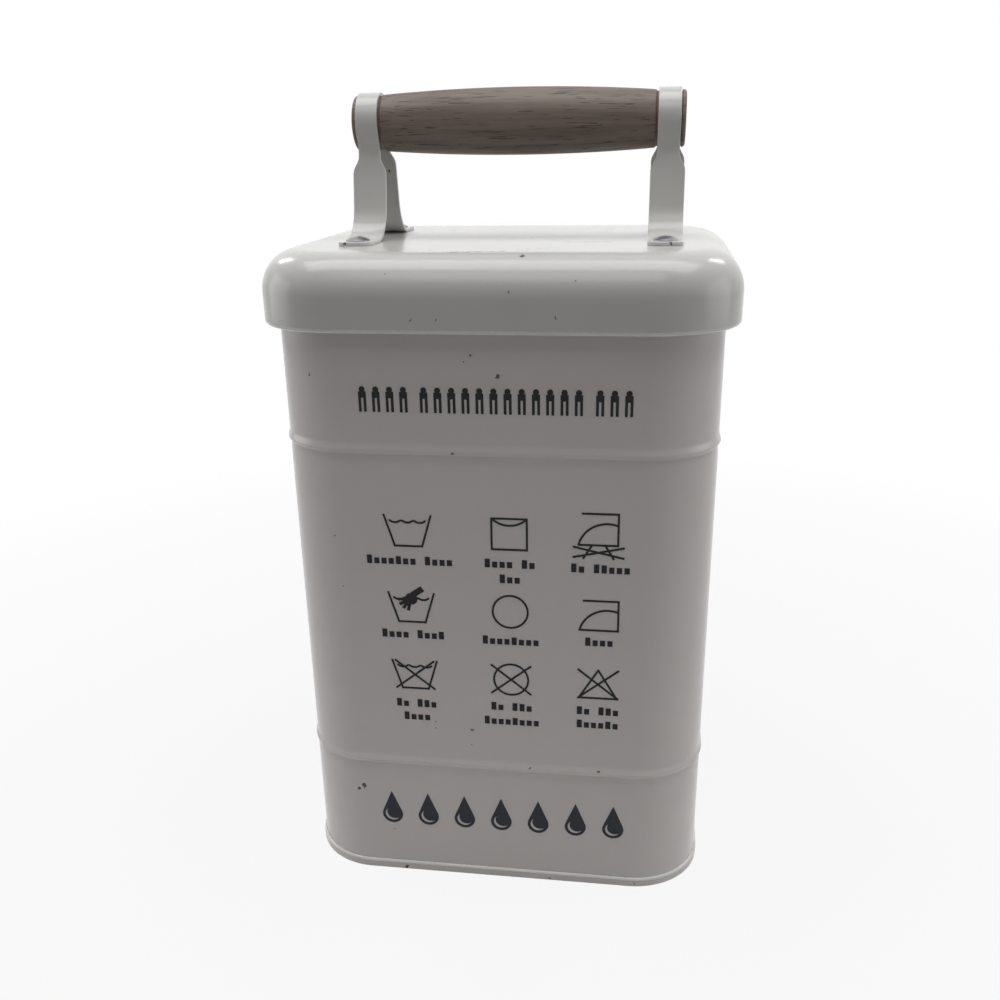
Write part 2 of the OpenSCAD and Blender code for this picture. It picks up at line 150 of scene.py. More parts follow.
class HandleSizes(PropertyGroup):
    """Sizes of the grip, the strap brackets and the rivets."""

    grip_length: length("Grip length", "Overall length of the grip", span("grip").x)
    middle_radius: length("Middle", "Radius at the barrel's middle", span("grip").z / 2)
    end_radius: length("Ends", "Radius at the barrel's ends", 10.2 * MM)
    neck_radius: length("Neck", "Radius under a strap", 9.6 * MM)
    stub_radius: length("Stub", "Radius outside a strap", 10 * MM)
    barrel: length("Barrel", "Length of the barrel", 105 * MM)
    stub_start: length("Stub start", "Distance from the middle to a stub", 61.7 * MM)
    strap: length("Strap", "Thickness of the strap", 1.4 * MM)
    leg: length("Leg", "Width of a leg", span("bracket_left").x)
    band: length("Band", "Width of the strap round the grip", 8.4 * MM)
    reach: length("Reach", "Distance to a foot's end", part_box("bracket_left")[1].y)
    wood_gap: length("Wood gap", "Clearance between strap and wood", 0.05 * MM)
    neck_bend: length("Neck bend", "Middle-line radius of the bend under the grip", 6 * MM)
    foot_bend: length("Foot bend", "Middle-line radius of the bend into the foot", 14 * MM)
    foot_corner: length("Foot corner", "Radius of a foot's corners", 3 * MM)
    shoulder_drop: length("Shoulder", "Drop from the grip's line to a front shoulder", 12.2 * MM)
    shoulder: length("Shoulder height", "Height over which a shoulder widens", 5.8 * MM)
    rear_up: length("Rear shoulder", "How much higher a rear shoulder sits", 3 * MM)
    shank: length("Shank", "Radius of a rivet's shank", 1.9 * MM)
    tail: length("Tail", "Radius of a rivet's clenched tail", 3.2 * MM)
    tail_height: length("Tail height", "Height of a rivet's tail", 1.1 * MM)
    head_height: length("Head height", "Height of a rivet's domed head", 1.6 * MM)
    wrap: IntProperty(
        name="Wrap", description="Degrees wrapped below the grip's line", default=35
    )
    lean: IntProperty(name="Lean", description="Degrees that a leg leans", default=10)


class Finishes(PropertyGroup):
    """Colours of the paint, wood, steel and ink."""

    paint: colour("Lid paint", "Cream powder coat on the lid", (0.66, 0.652, 0.628))
    tin_paint: colour("Tin paint", "Warmer cream powder coat on the tin", (0.755, 0.712, 0.69))
    bare: colour("Chipped", "Steel shown by a chip", (0.07, 0.065, 0.06))
    wood: colour("Wood", "Grey-brown wood", (0.178, 0.137, 0.107))
    wood_dark: colour("Dark grain", "Dark lines in the wood", (0.075, 0.055, 0.045))
    pore: colour("Pores", "Open pores in the wood", (0.022, 0.016, 0.013))
    steel: colour("Rivet", "Steel of the rivets", (0.27, 0.27, 0.28))
    ink: colour("Ink", "Black printing ink", (0.01, 0.01, 0.012))
    title_ink: colour("Title ink", "Charcoal ink of the lowest row", (0.035, 0.038, 0.05))


# Drawing with Blender's own tools


def deselect_all():
    """Leaves edit mode and selects nothing."""
    if bpy.context.object and bpy.context.object.mode != "OBJECT":
        bpy.ops.object.mode_set(mode="OBJECT")
    bpy.ops.object.select_all(action="DESELECT")


def start_line(name, point):
    """Starts a piece from one vertex at a point, in edit mode."""
    deselect_all()
    bpy.ops.mesh.primitive_plane_add(size=MM, location=(0, 0, 0))
    piece = bpy.context.object
    piece.name = piece.data.name = name
    bpy.ops.object.mode_set(mode="EDIT")
    bpy.ops.mesh.select_mode(type="VERT")
    bpy.ops.mesh.select_all(action="SELECT")
    bpy.ops.mesh.merge(type="CENTER")
    bpy.ops.transform.translate(value=point)
    return piece


def draw_line(points, closed=False):
    """Extrudes the selected vertex from point to point, and joins the ends if closed."""
    for here, there in zip(points, points[1:]):
        step = [b - a for a, b in zip(here, there)]
        bpy.ops.mesh.extrude_vertices_move(TRANSFORM_OT_translate={"value": step})
    if closed:
        step = [b - a for a, b in zip(points[-1], points[0])]
        bpy.ops.mesh.extrude_vertices_move(TRANSFORM_OT_translate={"value": step})
        merge_doubles()


def merge_doubles():
    """Merges vertices that lie on each other."""
    bpy.ops.mesh.select_all(action="SELECT")
    bpy.ops.mesh.remove_doubles(threshold=MERGED)
    bpy.ops.mesh.select_all(action="SELECT")


def select_where(piece, test):
    """In edit mode, selects only the vertices whose place passes the test."""
    mesh = bmesh.from_edit_mesh(piece.data)
    for vertex in mesh.verts:
        vertex.select = bool(test(vertex.co))
    mesh.select_flush(True)
    mesh.select_flush(False)
    bmesh.update_edit_mesh(piece.data)


def eased(share):
    """A share from 0 to 1 that starts and ends slowly."""
    return share**2 * (3 - 2 * share)


def arc(centre, radius, start, end, step):
    """Points along an arc in a section, with angles in degrees from the first axis."""
    count = max(2, ceil(abs(end - start) / step))
    turns = [radians(start + (end - start) * i / count) for i in range(count + 1)]
    return [(centre[0] + radius * cos(t), centre[1] + radius * sin(t)) for t in turns]


def without_repeats(points):
    """The points without those that repeat the one before."""
    kept = [points[0]]
    for point in points[1:]:
        if max(abs(a - b) for a, b in zip(point, kept[-1])) > REPEATED:
            kept.append(point)
    return kept


def add_modifier(piece, kind, **settings):
    """Adds a modifier to a piece and applies it."""
    modifier = piece.modifiers.new(kind.title(), kind)
    for name, value in settings.items():
        setattr(modifier, name, value)
    bpy.context.view_layer.objects.active = piece
    bpy.ops.object.modifier_apply(modifier=modifier.name)


def soften_edges(piece, width, segments, sharp):
    """Rounds the edges of a piece that are sharper than an angle in degrees."""
    add_modifier(
        piece,
        "BEVEL",
        width=width,
        segments=segments,
        limit_method="ANGLE",
        angle_limit=radians(sharp),
    )


def close_mesh():
    """Merges, turns all faces outwards and leaves edit mode."""
    merge_doubles()
    bpy.ops.mesh.normals_make_consistent(inside=False)
    bpy.ops.object.mode_set(mode="OBJECT")


def dress(piece, material, body, nodes, sharp=38):
    """Shades and paints a piece and puts it in the place of its solids."""
    deselect_all()
    piece.select_set(True)
    bpy.context.view_layer.objects.active = piece
    bpy.ops.object.shade_smooth_by_angle(angle=radians(sharp))
    add_modifier(piece, "WEIGHTED_NORMAL", keep_sharp=True, weight=50)
    piece.data.materials.clear()
    piece.data.materials.append(material)
    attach(piece, body)
    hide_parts(*nodes)


# Steps in which an upright corner is drawn
CORNER_STEPS = 20


def carry_round(width, depth, corner):
    """Carries the section drawn at the right wall once round a rounded rectangle."""
    x, y = width / 2 - corner, depth / 2 - corner
    corners = [(x, y, 0), (-x, y, 0), (-x, -y, 0), (x, -y, 0)]
    runs = [(-2 * x, 0, 0), (0, -2 * y, 0), (2 * x, 0, 0), (0, 2 * y, 0)]
    bpy.ops.mesh.select_all(action="SELECT")
    for centre, run in zip(corners, runs):
        bpy.ops.mesh.spin(steps=CORNER_STEPS, angle=-pi / 2, center=centre, axis=(0, 0, 1))
        bpy.ops.mesh.extrude_edges_move(TRANSFORM_OT_translate={"value": run})


def sweep(name, section, width, depth, corner, closed):
    """Makes a piece whose section, (out, up) from its outline, runs round a rectangle."""
    points = [
        (width / 2 + out, depth / 2 - corner, up) for out, up in without_repeats(section)
    ]
    piece = start_line(name, points[0])
    draw_line(points, closed)
    carry_round(width, depth, corner)
    merge_doubles()
    if not closed:
        bpy.ops.mesh.fill_holes(sides=0)
    close_mesh()
    return piece


def turn(name, section, centre, axis, steps):
    """Makes a turned piece from a section of (along, radius) points about a line."""
    along = Vector(axis)
    out = Vector((0, 0, 1)) if along.x else Vector((1, 0, 0))
    points = [
        Vector(centre) + along * a + out * r for a, r in without_repeats(section)
    ]
    piece = start_line(name, points[0])
    draw_line([tuple(p) for p in points])
    bpy.ops.mesh.select_all(action="SELECT")
    bpy.ops.mesh.spin(steps=steps, angle=2 * pi, center=centre, axis=axis)
    close_mesh()
    return piece


# Shader maths


class Socket:
    """A shader socket that Python expressions can be written on."""

    def __init__(self, finish, link):
        self.finish = finish
        self.link = link

    def math(self, operation, first, second):
        return self.finish.node(
            "ShaderNodeMath", {"operation": operation}, {0: first, 1: second}
        )

    def __add__(self, other):
        return self.math("ADD", self, other)

    __radd__ = __add__

    def __sub__(self, other):
        return self.math("SUBTRACT", self, other)

    def __rsub__(self, other):
        return self.math("SUBTRACT", other, self)

    def __mul__(self, other):
        return self.math("MULTIPLY", self, other)

    def below(self, edge):
        return self.math("LESS_THAN", self, edge)

    def most(self, other):
        return self.math("MAXIMUM", self, other)

    def size(self):
        return self.math("ABSOLUTE", self, 0.0)


class Finish:
    """A material or world whose nodes are made by one method."""

    def __init__(self, name, owner=None):
        self.owner = owner or bpy.data.materials.new(name)
        self.owner.use_nodes = True
        self.tree = self.owner.node_tree
        self.tree.nodes.clear()

    def node(self, kind, settings=None, values=None, output=0):
        """Makes a node, sets it, feeds its sockets and gives one of its outputs."""
        made = self.tree.nodes.new(kind)
        for name, value in (settings or {}).items():
            if name == "stops":
                self.set_stops(made.color_ramp, value)
            else:
                setattr(made, name, value)
        for name, value in (values or {}).items():
            if isinstance(value, Socket):
                self.tree.links.new(value.link, made.inputs[name])
            else:
                made.inputs[name].default_value = value
        return Socket(self, made.outputs[output]) if made.outputs else made

    @staticmethod
    def set_stops(ramp, stops):
        """Gives a colour ramp its stops, each a place and a grey level."""
        while len(ramp.elements) < len(stops):
            ramp.elements.new(0.5)
        for element, (place, level) in zip(ramp.elements, stops):
            element.position = place
            element.color = (level, level, level, 1)

    def place(self):
        """The point on the piece, in metres."""
        return self.node("ShaderNodeTexCoord", output="Object")

    def stretched(self, scale):
        """The point scaled by a different amount along each axis."""
        return self.node("ShaderNodeMapping", values={"Vector": self.place(), "Scale": scale})

    def vector(self, operation, first, second=(0, 0, 0), output="Vector"):
        """Does one step of vector maths."""
        return self.node(
            "ShaderNodeVectorMath", {"operation": operation}, {0: first, 1: second}, output
        )

    def along(self, axis, place):
        """How far a point lies along one axis."""
        return self.node("ShaderNodeSeparateXYZ", values={0: place}, output=axis)

    def noise(self, scale, detail=2.0, place=None, roughness=0.5):
        """Soft noise between 0 and 1, finer with a larger scale."""
        return self.node(
            "ShaderNodeTexNoise",
            values={
                "Vector": place or self.place(),
                "Scale": scale,
                "Detail": detail,
                "Roughness": roughness,
            },
        )

    def ramp(self, value, *stops):
        """A value spread over stops, each a place and a grey level."""
        return self.node("ShaderNodeValToRGB", {"stops": stops}, {"Fac": value})

    def blend(self, mask, first, second):
        """Mixes two colours by a mask."""
        first, second = (
            c if isinstance(c, Socket) else (*c, 1) for c in (first, second)
        )
        return self.node(
            "ShaderNodeMix",
            {"data_type": "RGBA"},
            {0: mask, 6: first, 7: second},
            output=2,
        )

    def bump(self, height, strength, distance, under=None):
        """A normal tilted by a height, on top of another such normal if there is one."""
        values = {"Height": height, "Strength": strength, "Distance": distance}
        if under is not None:
            values["Normal"] = under
        return self.node("ShaderNodeBump", values=values)

    def ragged(self, amount):
        """The point on the piece, pushed about so that the edge of a mark wanders."""
        wander = self.node(
            "ShaderNodeTexNoise",
            values={"Vector": self.place(), "Scale": 650, "Detail": 2},
            output="Color",
        )
        either_way = self.vector("SUBTRACT", wander, (0.5, 0.5, 0.5))
        push = self.vector("MULTIPLY", either_way, (amount,) * 3)
        return self.vector("ADD", self.place(), push)

    def near(self, point, radius, place):
        """1 within a radius of a point, in millimetres."""
        distance = self.vector("DISTANCE", place, tuple(c * MM for c in point), "Value")
        return distance.below(radius * MM)

    def scratch(self, x, y, size, width, angle, place):
        """1 on a fine straight line on a level face, in millimetres and degrees."""
        place = self.node(
            "ShaderNodeMapping",
            {"vector_type": "TEXTURE"},
            {
                "Vector": place,
                "Location": (x * MM, y * MM, 0),
                "Rotation": (0, 0, radians(angle)),
            },
        )
        ahead, aside = (self.along(axis, place).size() for axis in ("X", "Y"))
        return ahead.below(size / 2 * MM) * aside.below(width / 2 * MM)

    def shader(self, **values):
        """Ends the material with a principled shader."""
        named = {
            name.replace("_", " ").title().replace("Ior", "IOR"): value
            for name, value in values.items()
        }
        made = self.node("ShaderNodeBsdfPrincipled", values=named)
        self.node("ShaderNodeOutputMaterial", values={"Surface": made})
        return self.owner


# Finishes

# The lightest that a tint gets, which caps the painted highlight along an edge
LIGHTEST = 0.93


def shaded(tint, share):
    """A tint made darker or lighter."""
    return tuple(min(LIGHTEST, c * share) for c in tint)


def paint_finish(name, tint, marks, look, scratches=(), painted_highlight=None):
    """Glossy cream powder coat with chips, scratches and a painted highlight: a band at one
    height made lighter.
    """
    finish = Finish(name)
    peel = finish.noise(scale=420)
    waves = finish.noise(scale=9, detail=1)
    bump = finish.bump(peel, strength=0.05, distance=0.2 * MM)
    bump = finish.bump(waves, strength=0.08, distance=1 * MM, under=bump)

    dull = finish.ramp(finish.noise(scale=14, detail=3), (0.35, 0), (0.75, 0.2))
    tone = finish.blend(dull, tuple(tint), shaded(tint, 0.96))
    # Painted highlight: a lighter band at one height, standing in for the light caught by a
    # rounded edge
    if painted_highlight:
        level, reach = painted_highlight
        height = finish.along("Z", finish.ragged(0.6 * MM))
        edge = (height - level).size().below(reach)
        tone = finish.blend(edge * 0.8, tone, shaded(tint, 1.45))

    spot = finish.ragged(2.6 * MM)
    worn = finish.ramp(finish.noise(scale=300, detail=3), (0.42, 0.1), (0.56, 0.85))
    for scratch in scratches:
        tone = finish.blend(finish.scratch(*scratch, spot) * worn, tone, shaded(tint, 0.3))
    chips, *others = [finish.near(point, radius, spot) for *point, radius in marks]
    for chip in others:
        chips = chips.most(chip)
    tone = finish.blend(chips, tone, tuple(look.bare))

    gloss = finish.ramp(finish.noise(scale=60), (0.3, 0.17), (0.7, 0.22))
    return finish.shader(base_color=tone, roughness=gloss + chips * 0.4, normal=bump)


def wood_finish(look):
    """Grey-brown open-pored wood, its grain along the grip."""
    finish = Finish("Grip wood")
    wander = finish.noise(9, 3, finish.stretched((3, 12, 12)))
    grain = finish.noise(9, 4, finish.stretched((2.2, 42, 42)), roughness=0.6)
    lines = finish.ramp(grain + wander * 0.2, (0.5, 0), (0.78, 0.7))
    fine = finish.noise(60, 1.5, finish.stretched((1.3, 26, 26)))
    pores = finish.ramp(fine, (0.62, 0), (0.65, 1))
    tone = finish.blend(lines, tuple(look.wood), tuple(look.wood_dark))
    tone = finish.blend(pores * 0.85, tone, tuple(look.pore))
    height = 1 - pores - lines * 0.3
    return finish.shader(
        base_color=tone,
        roughness=finish.ramp(lines, (0, 0.5), (1, 0.62)),
        normal=finish.bump(height, strength=0.5, distance=0.25 * MM),
    )


def steel_finish(look):
    """Bare rivet steel, faintly uneven."""
    finish = Finish("Rivet steel")
    return finish.shader(
        base_color=(*look.steel, 1),
        metallic=1.0,
        roughness=finish.ramp(finish.noise(scale=700), (0.3, 0.24), (0.7, 0.36)),
        normal=finish.bump(finish.noise(scale=260), strength=0.15, distance=0.2 * MM),
    )


def ink_finish(name, tint):
    """Matt printing ink, worn a little thin."""
    finish = Finish(name)
    thin = finish.ramp(finish.noise(scale=900), (0.62, 0), (0.75, 0.35))
    paler = tuple(c + 0.06 for c in tint)
    return finish.shader(
        base_color=finish.blend(thin, tuple(tint), paler),
        roughness=0.5,
        specular_ior_level=0.2,
    )


# Places of wear, in millimetres: a point and a radius
TIN_CHIPS = (
    (3.3, -65, 217.4, 0.75),
    (-13.6, -65.7, 188.3, 0.7),
    (-6.2, -65, 224.7, 0.45),
    (-9.2, -65, 222.6, 0.4),
    (-66.6, -62.7, 217.1, 0.5),
    (-61.3, -64.4, 154.4, 0.5),
    (-59.5, -64.7, 133.2, 0.4),
    (-24.4, -65, 71.5, 0.35),
    (-24.5, -65, 74.3, 0.4),
    (-9.8, -65, 71.9, 0.45),
    (-57.2, -65, 40.8, 1.1),
    (-59.2, -64.8, 39.3, 0.7),
    (13.9, -65.7, 55.4, 0.5),
    (41.9, -65.7, 55.6, 0.5),
    (-10.5, -65, 64.7, 0.4),
    (-44.8, -65, 19.9, 0.4),
)
LID_CHIPS = (
    (11.8, -61, 258.4, 1.0),
    (-42.3, 18.3, 259.5, 0.7),
    (-22.2, -51.4, 259.5, 0.7),
    (-34.7, -68.2, 253.4, 0.5),
    (30.6, -69.4, 250.6, 0.5),
    (8.4, -70.2, 247.5, 0.4),
    (-26.2, -70.5, 238, 0.5),
    (-17.1, -70.5, 238.3, 0.5),
    (24.4, -70.5, 239.4, 0.45),
)
BASE_CHIPS = (
    (-40, -66, 1.2, 0.6),
    (22, -66, 0.9, 0.5),
    (58, -65.8, 1.6, 0.5),
)
BRACKET_CHIPS = (
    (-57.2, -38.2, 260.6, 0.6),
    (62.4, -38.1, 260.7, 0.5),
    (-50.4, 8, 284.5, 0.5),
)
# A point on the lid's top, a length, a width and a direction in degrees
LID_SCRATCHES = (
    (-6, -57, 22, 1.1, 6),
    (31.5, -22, 20, 1.2, -4),
    (14, -48, 12, 0.8, 24),
    (6, -6, 16, 0.8, 38),
    (14, 10, 13, 0.8, -52),
    (-30, 30, 18, 0.7, 22),
    (38, 36, 12, 0.7, 70),
)


# Sections, as (out from the wall, up) points

# Where a bead starts, is fullest, dips and ends, measured up from the line under it
BEAD_STOPS = (4.2 * MM, 1 * MM, -0.4 * MM, -4.6 * MM)
# The rows that draw a bead: how many, how far apart, and how far under its line they start
BEAD_ROWS, ROW_HEIGHT, ROWS_START = 28, 0.35 * MM, 4.9 * MM
# How far the open edge and the lid's hem are rolled, in degrees
CURL_TURN, HEM_TURN = 262, 248


def bead_face(tin, inset, height):
    """How far out the wall's face lies at a height, past a bead and the dip under it."""
    out = 0
    for bead in (tin.upper_bead, tin.lower_bead):
        heights = [bead + up for up in BEAD_STOPS]
        stops = list(zip(heights, (0, tin.bead_out, -tin.groove_in, 0)))
        for (high, start), (low, end) in zip(stops, stops[1:]):
            if low <= height < high:
                out = start + (end - start) * eased((high - height) / (high - low))
    return out - inset


def wall_face(tin, inset):
    """The wall's face from its foot up to the roll."""
    heights = [tin.sheet + tin.gap]
    for bead in (tin.lower_bead, tin.upper_bead):
        heights += [bead - ROWS_START + ROW_HEIGHT * i for i in range(BEAD_ROWS)]
    heights.append(tin.rim - tin.curl)
    return [(bead_face(tin, inset, height), height) for height in heights]


def wall_section(tin):
    """The wall's sheet with its beads and the roll along its open edge."""
    centre = (-tin.curl, tin.rim - tin.curl)
    outer = wall_face(tin, 0) + arc(centre, tin.curl, 0, CURL_TURN, 15)
    inner = arc(centre, tin.curl - tin.sheet, CURL_TURN, 0, 20)
    return outer + inner + wall_face(tin, tin.sheet)[::-1]


def base_section(tin):
    """The base panel's edge, folded down inside the wall, under it and up outside it."""
    inner = tin.gap + tin.sheet
    lip = tin.seam_out - tin.gap
    soft = 0.3 * MM
    top = (tin.gap, tin.seam_height - lip)
    return [
        (-inner, tin.panel),
        (-inner, tin.sheet),
        (tin.gap, tin.sheet),
        *arc(top, lip, 90, 0, 15),
        *arc((tin.seam_out - soft, soft), soft, 0, -90, 30),
        *arc((soft - inner - tin.sheet, soft), soft, -90, -180, 30),
        (-inner - tin.sheet, tin.panel - tin.sheet),
    ]


def lid_section(lid):
    """The lid's sheet from the edge of its flat top to the rolled hem and back."""
    edge = (-lid.edge, lid.top - lid.edge)
    hem = (-lid.hem, lid.foot + lid.hem)
    flat = -lid.edge - 1 * MM
    return [
        (flat, lid.top),
        *arc(edge, lid.edge, 90, 0, 5),
        *arc(hem, lid.hem, 0, -HEM_TURN, 15),
        *arc(hem, lid.hem - lid.sheet, -HEM_TURN, 0, 20),
        *arc(edge, lid.edge - lid.sheet, 0, 90, 5),
        (flat, lid.top - lid.sheet),
    ]


# Steps in which a strap widens at its shoulder
SHOULDER_STEPS = 6


def strap_path(handle, grip_z, lid_top, raised):
    """The strap's middle line from the grip's top to a foot's end, as (out, up) points.

    It gives the height of the leg's shoulder too, which is raised at the rear.
    """
    wrap, lean = radians(handle.wrap), radians(handle.lean)
    ring = handle.neck_radius + handle.wood_gap + handle.strap / 2
    reach = ring + handle.neck_bend
    bend_y, bend_z = reach * cos(wrap), grip_z - reach * sin(wrap)
    top_y, top_z = bend_y - handle.neck_bend * cos(lean), bend_z - handle.neck_bend * sin(lean)
    foot_z = lid_top + handle.strap / 2
    sweep_z = foot_z + handle.foot_bend
    leg_foot_z = sweep_z - handle.foot_bend * sin(lean)
    leg_foot_y = top_y + (top_z - leg_foot_z) * tan(lean)
    sweep_y = leg_foot_y + handle.foot_bend * cos(lean)
    shoulder = grip_z - handle.shoulder_drop + raised
    drop = handle.shoulder / SHOULDER_STEPS
    rows = [shoulder - drop * step for step in range(SHOULDER_STEPS + 1)]
    path = without_repeats(
        arc((0, grip_z), ring, 90, -handle.wrap, 5)
        + arc((bend_y, bend_z), handle.neck_bend, 180 - handle.wrap, 180 + handle.lean, 5)
        + [(top_y + (top_z - z) * tan(lean), z) for z in rows if z < top_z]
        + arc((sweep_y, sweep_z), handle.foot_bend, 180 + handle.lean, 270, 5)
        + [(sweep_y + 2 * MM, foot_z), (handle.reach, foot_z)]
    )
    return path, shoulder


# Pieces


# Steps in which the grip's barrel and a rivet's dome are drawn
CURVE_STEPS = 12


class TinOperator(Operator):
    """What the operators share."""

    bl_options = {"REGISTER", "UNDO"}


class LAUNDRYTIN_OT_wall(TinOperator):
    """Builds the tin's wall with its beads, curled edge and lapped seam."""

    bl_idname = "laundrytin.wall"
    bl_label = "Tin Wall"

    def execute(self, context):
        tin = context.scene.laundry_tin
        look = context.scene.laundry_look
        wall = sweep("tin_wall", wall_section(tin), tin.width, tin.depth, tin.corner, True)
        self.add_lap(tin, wall)
        paint = paint_finish("Tin paint", look.tin_paint, TIN_CHIPS, look)
        dress(wall, paint, "tin", ["tin_body"])
        return {"FINISHED"}

    def add_lap(self, tin, wall):
        """Adds the lapped seam inside the back wall, which stops short of each bead."""
        clear, under_bead, over_bead = 1 * MM, 4 * MM, 5 * MM
        ends = [tin.panel + clear]
        for bead in (tin.lower_bead, tin.upper_bead):
            ends += [bead - under_bead, bead + over_bead]
        ends.append(tin.rim - 2 * tin.curl - clear)
        strips = []
        for start, stop in zip(ends[::2], ends[1::2]):
            deselect_all()
            bpy.ops.mesh.primitive_cube_add(
                size=1,
                location=(0, tin.depth / 2 - 1.5 * tin.sheet, (start + stop) / 2),
                scale=(tin.lap, tin.sheet, stop - start),
            )
            strip = bpy.context.object
            bpy.ops.object.transform_apply(location=True, rotation=True, scale=True)
            add_modifier(strip, "BEVEL", width=0.2 * MM, segments=2)
            strips.append(strip)
        deselect_all()
        for strip in (*strips, wall):
            strip.select_set(True)
        bpy.context.view_layer.objects.active = wall
        bpy.ops.object.join()


class LAUNDRYTIN_OT_base(TinOperator):
    """Builds the recessed base panel and the seam folded round the foot."""

    bl_idname = "laundrytin.base"
    bl_label = "Base Panel"

    def execute(self, context):
        tin = context.scene.laundry_tin
        look = context.scene.laundry_look
        base = sweep("folded_base", base_section(tin), tin.width, tin.depth, tin.corner, False)
        # The seam's rounded top edge gets a painted highlight, a lighter band of paint
        level, reach = tin.seam_height - 0.45 * MM, 0.5 * MM
        paint = paint_finish(
            "Base paint", look.tin_paint, BASE_CHIPS, look, painted_highlight=(level, reach)
        )
        dress(base, paint, "tin", ["base_panel"])
        return {"FINISHED"}


class LAUNDRYTIN_OT_lid(TinOperator):
    """Builds the drawn lid with its rounded edge and rolled hem."""

    bl_idname = "laundrytin.lid"
    bl_label = "Lid"

    def execute(self, context):
        lid = context.scene.laundry_lid
        look = context.scene.laundry_look
        shell = sweep("drawn_lid", lid_section(lid), lid.width, lid.depth, lid.corner, False)
        # The rolled hem gets a painted highlight, a lighter band along its lower edge
        level, reach = lid.foot + 0.8 * MM, 0.7 * MM
        paint = paint_finish(
            "Lid paint", look.paint, LID_CHIPS, look, LID_SCRATCHES, painted_highlight=(level, reach)
        )
        dress(shell, paint, "lid", ["lid_shell"])
        return {"FINISHED"}


class LAUNDRYTIN_OT_brackets(TinOperator):
    """Builds the two strap brackets that hold the grip on the lid."""

    bl_idname = "laundrytin.brackets"
    bl_label = "Strap Brackets"

    def execute(self, context):
        look = context.scene.laundry_look
        paint = paint_finish("Bracket paint", look.paint, BRACKET_CHIPS, look)
        for node in BRACKET_NODES:
            name = node.replace("bracket", "strap")
            strap = self.bend_strap(context, name, middle(node).x)
            dress(strap, paint, "lid", [node])
        return {"FINISHED"}

    @staticmethod
    def placed(y, z):
        """A test for the vertices across the strap at one place."""
        return lambda co: abs(co.y - y) < MET and abs(co.z - z) < MET

    def bend_strap(self, context, name, x):
        """Bends a strip over the grip, narrows it there and rounds the corners of its feet."""
        handle = context.scene.laundry_handle
        grip_z = middle("grip").z
        lid_top = context.scene.laundry_lid.top
        front, front_shoulder = strap_path(handle, grip_z, lid_top, 0)
        rear, rear_shoulder = strap_path(handle, grip_z, lid_top, handle.rear_up)
        side = x - handle.leg / 2
        line = [(side, -y, z) for y, z in reversed(front)]
        line += [(side, y, z) for y, z in rear[1:]]
        strap = start_line(name, line[0])
        draw_line(line)
        bpy.ops.mesh.select_all(action="SELECT")
        bpy.ops.mesh.extrude_edges_move(
            TRANSFORM_OT_translate={"value": (handle.leg, 0, 0)}
        )
        for _, y, z in line:
            shoulder = rear_shoulder if y > 0 else front_shoulder
            share = eased(min(1, max(0, (shoulder - z) / handle.shoulder)))
            width = handle.band + (handle.leg - handle.band) * share
            if width < handle.leg:
                select_where(strap, self.placed(y, z))
                bpy.ops.transform.resize(
                    value=(width / handle.leg, 1, 1), center_override=(x, 0, 0)
                )
        select_where(strap, lambda co: abs(co.y) > handle.reach - MET)
        bpy.ops.mesh.bevel(
            offset=handle.foot_corner, segments=6, affect="VERTICES", offset_type="OFFSET"
        )
        close_mesh()
        add_modifier(strap, "SOLIDIFY", thickness=handle.strap, offset=0, use_even_offset=True)
        soften_edges(strap, 0.28 * MM, 3, 50)
        return strap


class LAUNDRYTIN_OT_grip(TinOperator):
    """Turns the wooden grip, a barrel with two necks and two stubs."""

    bl_idname = "laundrytin.grip"
    bl_label = "Wooden Grip"

    def execute(self, context):
        handle = context.scene.laundry_handle
        half = handle.barrel / 2
        sag = handle.middle_radius - handle.end_radius
        sweep_radius = (half**2 + sag**2) / (2 * sag)
        centre = handle.middle_radius - sweep_radius
        bevel, stub_bevel = 0.6 * MM, 0.8 * MM
        end = handle.grip_length / 2
        steps = [half * i / CURVE_STEPS for i in range(CURVE_STEPS)]
        barrel = [(a, centre + sqrt(sweep_radius**2 - a**2)) for a in steps]
        right = [
            *barrel,
            (half - bevel, handle.end_radius),
            (half, handle.end_radius - bevel),
            (half, handle.neck_radius),
            (handle.stub_start, handle.neck_radius),
            (handle.stub_start, handle.stub_radius),
            (end - stub_bevel, handle.stub_radius),
            (end - 0.25 * stub_bevel, handle.stub_radius - 0.4 * stub_bevel),
            (end, handle.stub_radius - 1.2 * stub_bevel),
            (end, 0),
        ]
        left = [(-a, r) for a, r in reversed(right[1:])]
        grip = turn("turned_grip", left + right, middle("grip"), (1, 0, 0), 72)
        soften_edges(grip, 0.18 * MM, 2, 40)
        dress(grip, wood_finish(context.scene.laundry_look), "lid", ["grip"])
        return {"FINISHED"}


